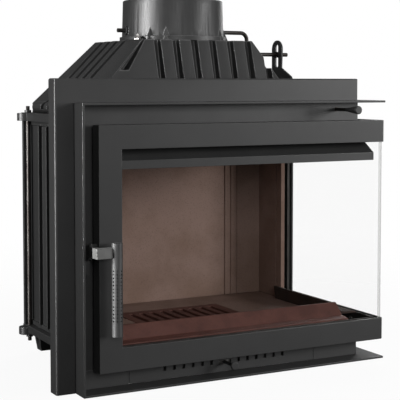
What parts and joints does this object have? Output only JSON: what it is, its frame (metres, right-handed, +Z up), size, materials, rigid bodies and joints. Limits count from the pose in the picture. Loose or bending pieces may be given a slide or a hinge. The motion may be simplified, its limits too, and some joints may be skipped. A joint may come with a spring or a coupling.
{
  "type": "fireplace insert",
  "caption": "Cast iron fireplace insert with an L-shaped corner glass door, smoke hood with flue damper, folded surround, ash drawer and air slide.",
  "frame": {"origin": "on the ground line, under the middle of the surround flange's front face", "axes": "+X to the right, +Y to the back, +Z up along the flue"},
  "size_m": [0.6708, 0.472, 0.699],
  "materials": {
    "black_paint": "matte anthracite heat-resistant paint on sheet steel",
    "cast_iron": "cast iron under matte anthracite heat-resistant paint",
    "firebrick": "bare brown-grey refractory lining plates, fluted",
    "plain_steel": "plain machined steel",
    "handle_steel": "brushed grey steel",
    "ceramic_glass": "clear ceramic glass",
    "rope_grey": "grey glass-fibre rope and tape"
  },
  "bodies": {
    "casing": {"surround_flange": "black_paint", "surround_collar": "black_paint", "front_frame": "cast_iron", "lower_panel_left": "black_paint", "lower_panel_right": "black_paint", "base_plate": "cast_iron", "rear_feet": "cast_iron", "left_wall": "cast_iron", "rear_wall": "cast_iron", "right_post": "cast_iron", "top_plate": "cast_iron", "tie_rods": "plain_steel", "tie_rod_nuts": "plain_steel", "smoke_hood": "cast_iron", "flue_spigot": "cast_iron", "spigot_bolts": "plain_steel", "floor_lining": "firebrick", "rear_lining": "firebrick", "left_lining": "firebrick", "post_lining": "firebrick", "lower_baffle": "firebrick", "upper_baffle": "firebrick", "baffle_ledges": "cast_iron", "air_deflector": "black_paint", "front_fender": "cast_iron", "side_fender": "cast_iron", "grate": "cast_iron", "ash_box": "black_paint", "latch_keeper": "plain_steel", "hinge_brackets": "cast_iron", "hinge_pins": "plain_steel", "rod_guides": "plain_steel"},
    "door": {"door_frame": "black_paint", "front_glass": "ceramic_glass", "side_glass": "ceramic_glass", "glass_gaskets": "rope_grey", "glass_retainers": "plain_steel", "retainer_screws": "plain_steel", "door_seal": "rope_grey", "hinge_leaves": "cast_iron", "handle_lugs": "black_paint", "handle_pivot_pin": "plain_steel"},
    "handle": {"handle_neck": "handle_steel", "handle_tube": "handle_steel", "handle_caps": "handle_steel", "latch_hook": "handle_steel"},
    "damper_rod": {"damper_pull_rod": "plain_steel", "damper_knob": "black_paint", "damper_link": "black_paint"},
    "damper": {"damper_shaft": "plain_steel", "damper_plate": "cast_iron", "damper_clips": "plain_steel"},
    "ash_drawer": {"drawer_front": "black_paint", "ash_pan": "black_paint"},
    "air_control": {"air_slider": "plain_steel", "air_knob": "black_paint"}
  },
  "joints": [
    {"name": "door_swing", "type": "hinge", "parent": "casing", "child": "door", "pos_m": [0.3473, 0.346, 0.25], "axis": [0, 0, 1], "range_deg": [0, 95]},
    {"name": "handle_turn", "type": "hinge", "parent": "door", "child": "handle", "pos_m": [-0.259, -0.024, 0.25], "axis": [0, 0, 1], "range_deg": [-25, 0]},
    {"name": "damper_pull", "type": "slide", "parent": "casing", "child": "damper_rod", "axis": [0, 1, 0], "range_m": [-0.0303, 0.0303]},
    {"name": "damper_turn", "type": "hinge", "parent": "casing", "child": "damper", "pos_m": [0.011, 0.2, 0.64], "axis": [1, 0, 0], "range_deg": [-45.2, 45.2]},
    {"name": "ash_drawer_slide", "type": "slide", "parent": "casing", "child": "ash_drawer", "axis": [0, -1, 0], "range_m": [0, 0.25]},
    {"name": "air_slide", "type": "slide", "parent": "ash_drawer", "child": "air_control", "axis": [1, 0, 0], "range_m": [-0.009, 0.009]}
  ],
  "couplings": [
    {"joint": "damper_turn", "follows": "damper_pull", "rad_per_m": 25.84}
  ]
}
